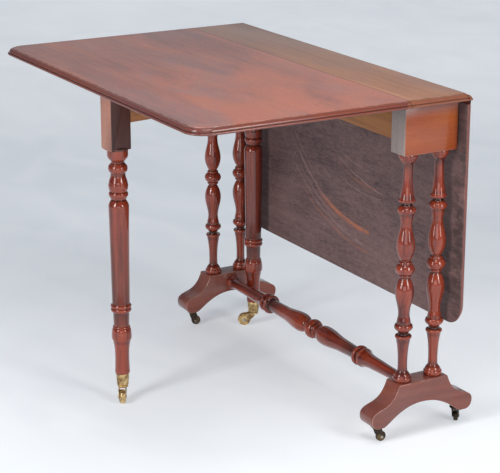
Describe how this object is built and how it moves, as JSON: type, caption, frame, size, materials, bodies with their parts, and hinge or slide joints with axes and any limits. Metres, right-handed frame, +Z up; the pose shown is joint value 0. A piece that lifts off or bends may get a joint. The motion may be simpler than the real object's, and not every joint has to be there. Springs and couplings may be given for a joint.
{
  "type": "drop-leaf gate-leg table",
  "caption": "Narrow-centred drop-leaf side table with turned end frames, rule-jointed leaves and swinging gate legs on brass casters.",
  "frame": {"origin": "on the floor, at the middle of the bounding box with the front leaf raised and the rear leaf hanging", "axes": "+X along the centre board, +Y from the raised leaf towards the hanging leaf, +Z up"},
  "size_m": [0.91, 0.6675, 0.72],
  "materials": {
    "top_mahogany": "polished mahogany boards, duller underneath",
    "turned_mahogany": "glossy French-polished turned mahogany",
    "frame_mahogany": "satin mahogany blocks and feet",
    "rail_wood": "pale unpolished beech rails",
    "caster_brass": "worn yellow brass",
    "dark_brass": "darkened old brass",
    "hinge_brass": "dull plate brass",
    "steel": "old iron pins and screws"
  },
  "bodies": {
    "frame": {"centre_board": "top_mahogany", "near_end_block": "frame_mahogany", "far_end_block": "frame_mahogany", "centre_rail": "rail_wood", "front_knuckle_rail": "rail_wood", "rear_knuckle_rail": "rail_wood", "front_knuckle_pin": "steel", "rear_knuckle_pin": "steel", "near_front_column": "turned_mahogany", "near_rear_column": "turned_mahogany", "far_front_column": "turned_mahogany", "far_rear_column": "turned_mahogany", "near_foot": "frame_mahogany", "far_foot": "frame_mahogany", "stretcher": "turned_mahogany", "near_front_caster_plate": "dark_brass", "near_rear_caster_plate": "dark_brass", "far_front_caster_plate": "dark_brass", "far_rear_caster_plate": "dark_brass", "front_hinge_table_plates": "hinge_brass", "rear_hinge_table_plates": "hinge_brass", "front_hinge_pins": "steel", "rear_hinge_pins": "steel", "hinge_table_screws": "steel", "top_fixing_screws": "steel", "knuckle_rail_screws": "steel", "caster_plate_screws": "steel"},
    "front_leaf": {"front_leaf": "top_mahogany", "front_hinge_leaf_plates": "hinge_brass", "front_leaf_screws": "steel"},
    "rear_leaf": {"rear_leaf": "top_mahogany", "rear_hinge_leaf_plates": "hinge_brass", "rear_leaf_screws": "steel"},
    "front_gate": {"front_fly_rail": "rail_wood", "front_gate_leg": "turned_mahogany", "front_gate_caster_socket": "caster_brass"},
    "rear_gate": {"rear_fly_rail": "rail_wood", "rear_gate_leg": "turned_mahogany", "rear_gate_caster_socket": "caster_brass"},
    "front_gate_caster": {"front_gate_caster_horn": "caster_brass", "front_gate_caster_axle": "steel"},
    "front_gate_wheel": {"front_gate_caster_wheel": "caster_brass"},
    "rear_gate_caster": {"rear_gate_caster_horn": "caster_brass", "rear_gate_caster_axle": "steel"},
    "rear_gate_wheel": {"rear_gate_caster_wheel": "caster_brass"},
    "near_front_caster": {"near_front_caster_horn": "dark_brass", "near_front_caster_axle": "steel"},
    "near_front_wheel": {"near_front_caster_wheel": "dark_brass"},
    "near_rear_caster": {"near_rear_caster_horn": "dark_brass", "near_rear_caster_axle": "steel"},
    "near_rear_wheel": {"near_rear_caster_wheel": "dark_brass"},
    "far_front_caster": {"far_front_caster_horn": "dark_brass", "far_front_caster_axle": "steel"},
    "far_front_wheel": {"far_front_caster_wheel": "dark_brass"},
    "far_rear_caster": {"far_rear_caster_horn": "dark_brass", "far_rear_caster_axle": "steel"},
    "far_rear_wheel": {"far_rear_caster_wheel": "dark_brass"}
  },
  "joints": [
    {"name": "front_leaf_hinge", "type": "hinge", "parent": "frame", "child": "front_leaf", "pos_m": [0, 0.14125, 0.7085], "axis": [-1, 0, 0], "range_deg": [0, 1]},
    {"name": "rear_leaf_hinge", "type": "hinge", "parent": "frame", "child": "rear_leaf", "pos_m": [0, 0.27625, 0.7085], "axis": [1, 0, 0], "range_deg": [0, 90]},
    {"name": "front_gate_swing", "type": "hinge", "parent": "frame", "child": "front_gate", "pos_m": [-0.109, 0.18575, 0.662], "axis": [0, 0, 1], "range_deg": [-7.5, 82.5]},
    {"name": "rear_gate_swing", "type": "hinge", "parent": "frame", "child": "rear_gate", "pos_m": [0.109, 0.23175, 0.662], "axis": [0, 0, -1], "range_deg": [0, 1.2]},
    {"name": "front_gate_caster_swivel", "type": "hinge", "parent": "front_gate", "child": "front_gate_caster", "pos_m": [-0.05757, -0.24321, 0.03], "axis": [0, 0, 1], "continuous": true},
    {"name": "front_gate_wheel_spin", "type": "hinge", "parent": "front_gate_caster", "child": "front_gate_wheel", "pos_m": [-0.03852, -0.25421, 0.0152], "axis": [0.5, 0.866, 0], "continuous": true},
    {"name": "rear_gate_caster_swivel", "type": "hinge", "parent": "rear_gate", "child": "rear_gate_caster", "pos_m": [-0.323, 0.23675, 0.03], "axis": [0, 0, 1], "continuous": true},
    {"name": "rear_gate_wheel_spin", "type": "hinge", "parent": "rear_gate_caster", "child": "rear_gate_wheel", "pos_m": [-0.334, 0.2177, 0.0152], "axis": [0.866, -0.5, 0], "continuous": true},
    {"name": "near_front_caster_swivel", "type": "hinge", "parent": "frame", "child": "near_front_caster", "pos_m": [0.4035, 0.10875, 0.03], "axis": [0, 0, 1], "continuous": true},
    {"name": "near_front_wheel_spin", "type": "hinge", "parent": "near_front_caster", "child": "near_front_wheel", "pos_m": [0.40541, 0.11958, 0.01075], "axis": [-0.9848, 0.1736, 0], "continuous": true},
    {"name": "near_rear_caster_swivel", "type": "hinge", "parent": "frame", "child": "near_rear_caster", "pos_m": [0.4035, 0.30875, 0.03], "axis": [0, 0, 1], "continuous": true},
    {"name": "near_rear_wheel_spin", "type": "hinge", "parent": "near_rear_caster", "child": "near_rear_wheel", "pos_m": [0.396, 0.31679, 0.01075], "axis": [-0.7314, -0.682, 0], "continuous": true},
    {"name": "far_front_caster_swivel", "type": "hinge", "parent": "frame", "child": "far_front_caster", "pos_m": [-0.4035, 0.10875, 0.03], "axis": [0, 0, 1], "continuous": true},
    {"name": "far_front_wheel_spin", "type": "hinge", "parent": "far_front_caster", "child": "far_front_wheel", "pos_m": [-0.39703, 0.11765, 0.01075], "axis": [-0.809, 0.5878, 0], "continuous": true},
    {"name": "far_rear_caster_swivel", "type": "hinge", "parent": "frame", "child": "far_rear_caster", "pos_m": [-0.4035, 0.30875, 0.03], "axis": [0, 0, 1], "continuous": true},
    {"name": "far_rear_wheel_spin", "type": "hinge", "parent": "far_rear_caster", "child": "far_rear_wheel", "pos_m": [-0.40541, 0.31958, 0.01075], "axis": [-0.9848, -0.1736, 0], "continuous": true}
  ]
}
